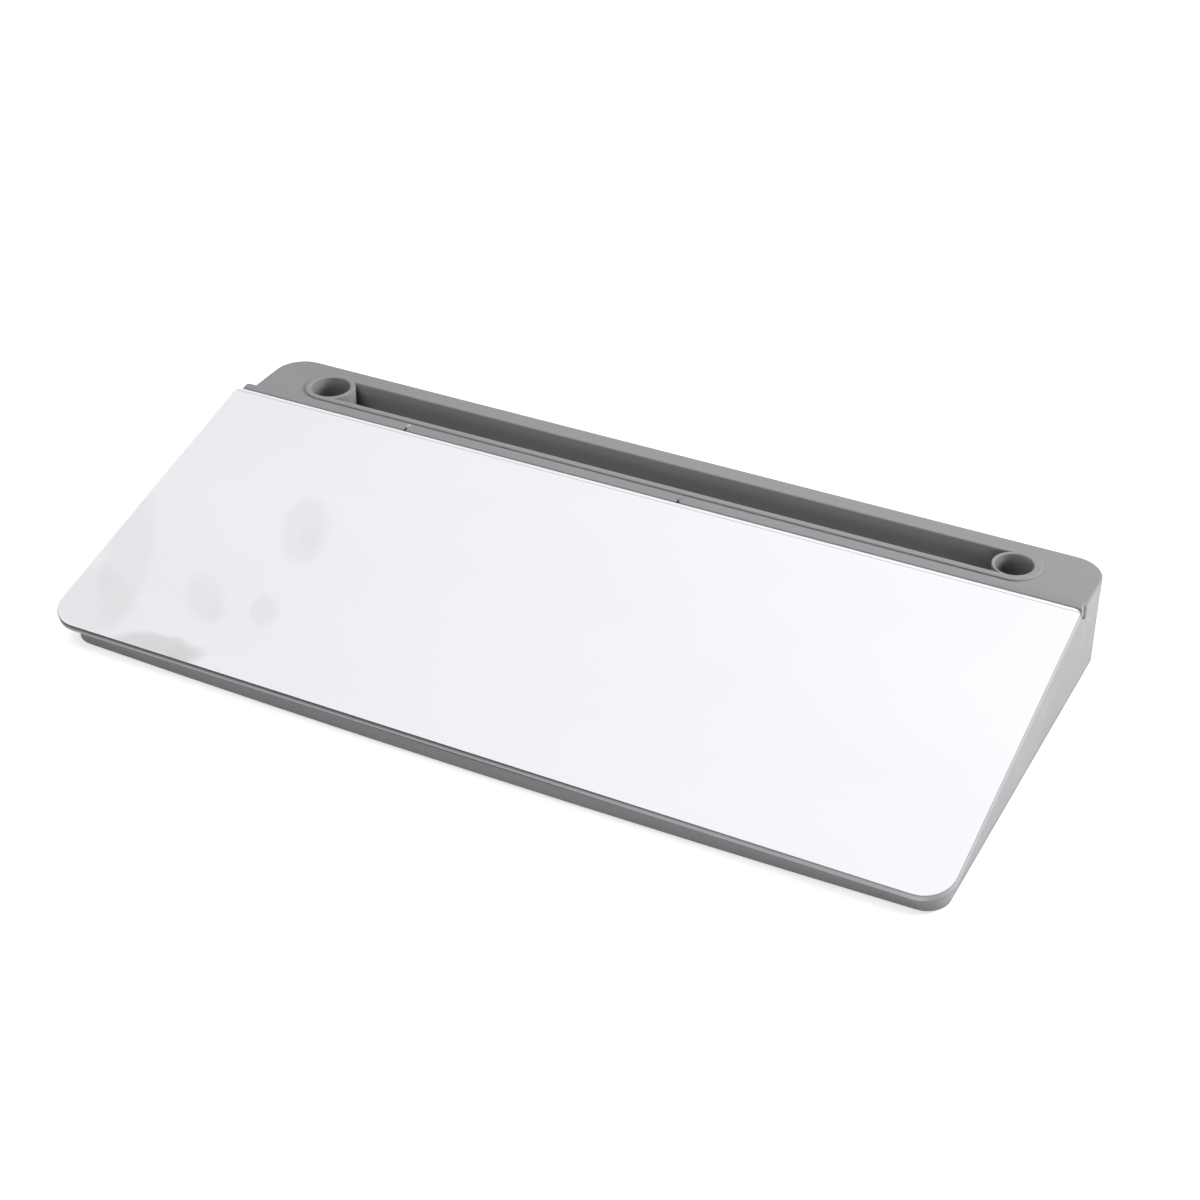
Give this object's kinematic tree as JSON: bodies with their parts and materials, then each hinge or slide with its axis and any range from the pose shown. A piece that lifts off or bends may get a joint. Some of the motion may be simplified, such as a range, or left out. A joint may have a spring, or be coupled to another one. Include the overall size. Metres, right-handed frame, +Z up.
{
  "type": "desktop whiteboard organizer",
  "caption": "Sloping desktop glass whiteboard whose lid slides sideways over a storage tub, with a rear ledge holding a phone slot and round pen cups.",
  "frame": {"origin": "centre of the outline, on the surface that the feet stand on", "axes": "+X to the right along the board, +Y from the low front edge to the back ledge, +Z up"},
  "size_m": [0.4, 0.1875, 0.0516],
  "materials": {
    "shell_grey": "fine moulded texture, mid grey",
    "white_glass": "back-painted white, glossy, with ground edges",
    "foam_tape": "white foam",
    "slide_plastic": "waxy, off-white",
    "clip_plastic": "waxy, pale",
    "foot_rubber": "matte",
    "screw_steel": "zinc plated"
  },
  "bodies": {
    "base": {"base_tub": "shell_grey", "rear_cap": "shell_grey", "accessory_trough": "shell_grey", "cap_screws": "screw_steel", "trough_screws": "screw_steel", "detent_spring": "clip_plastic", "foot_front_left": "foot_rubber", "foot_front_middle": "foot_rubber", "foot_front_right": "foot_rubber", "foot_rear_left": "foot_rubber", "foot_rear_middle": "foot_rubber", "foot_rear_right": "foot_rubber"},
    "lid": {"lid_carrier": "shell_grey", "writing_glass": "white_glass", "tape_front": "foam_tape", "tape_middle": "foam_tape", "tape_rear": "foam_tape", "front_retainer": "slide_plastic", "rear_retainer": "slide_plastic", "retainer_screws": "screw_steel"}
  },
  "joints": [
    {"name": "lid_slide", "type": "slide", "parent": "base", "child": "lid", "axis": [-1, 0, 0], "range_m": [0, 0.134], "deforming": ["detent_spring"]}
  ]
}
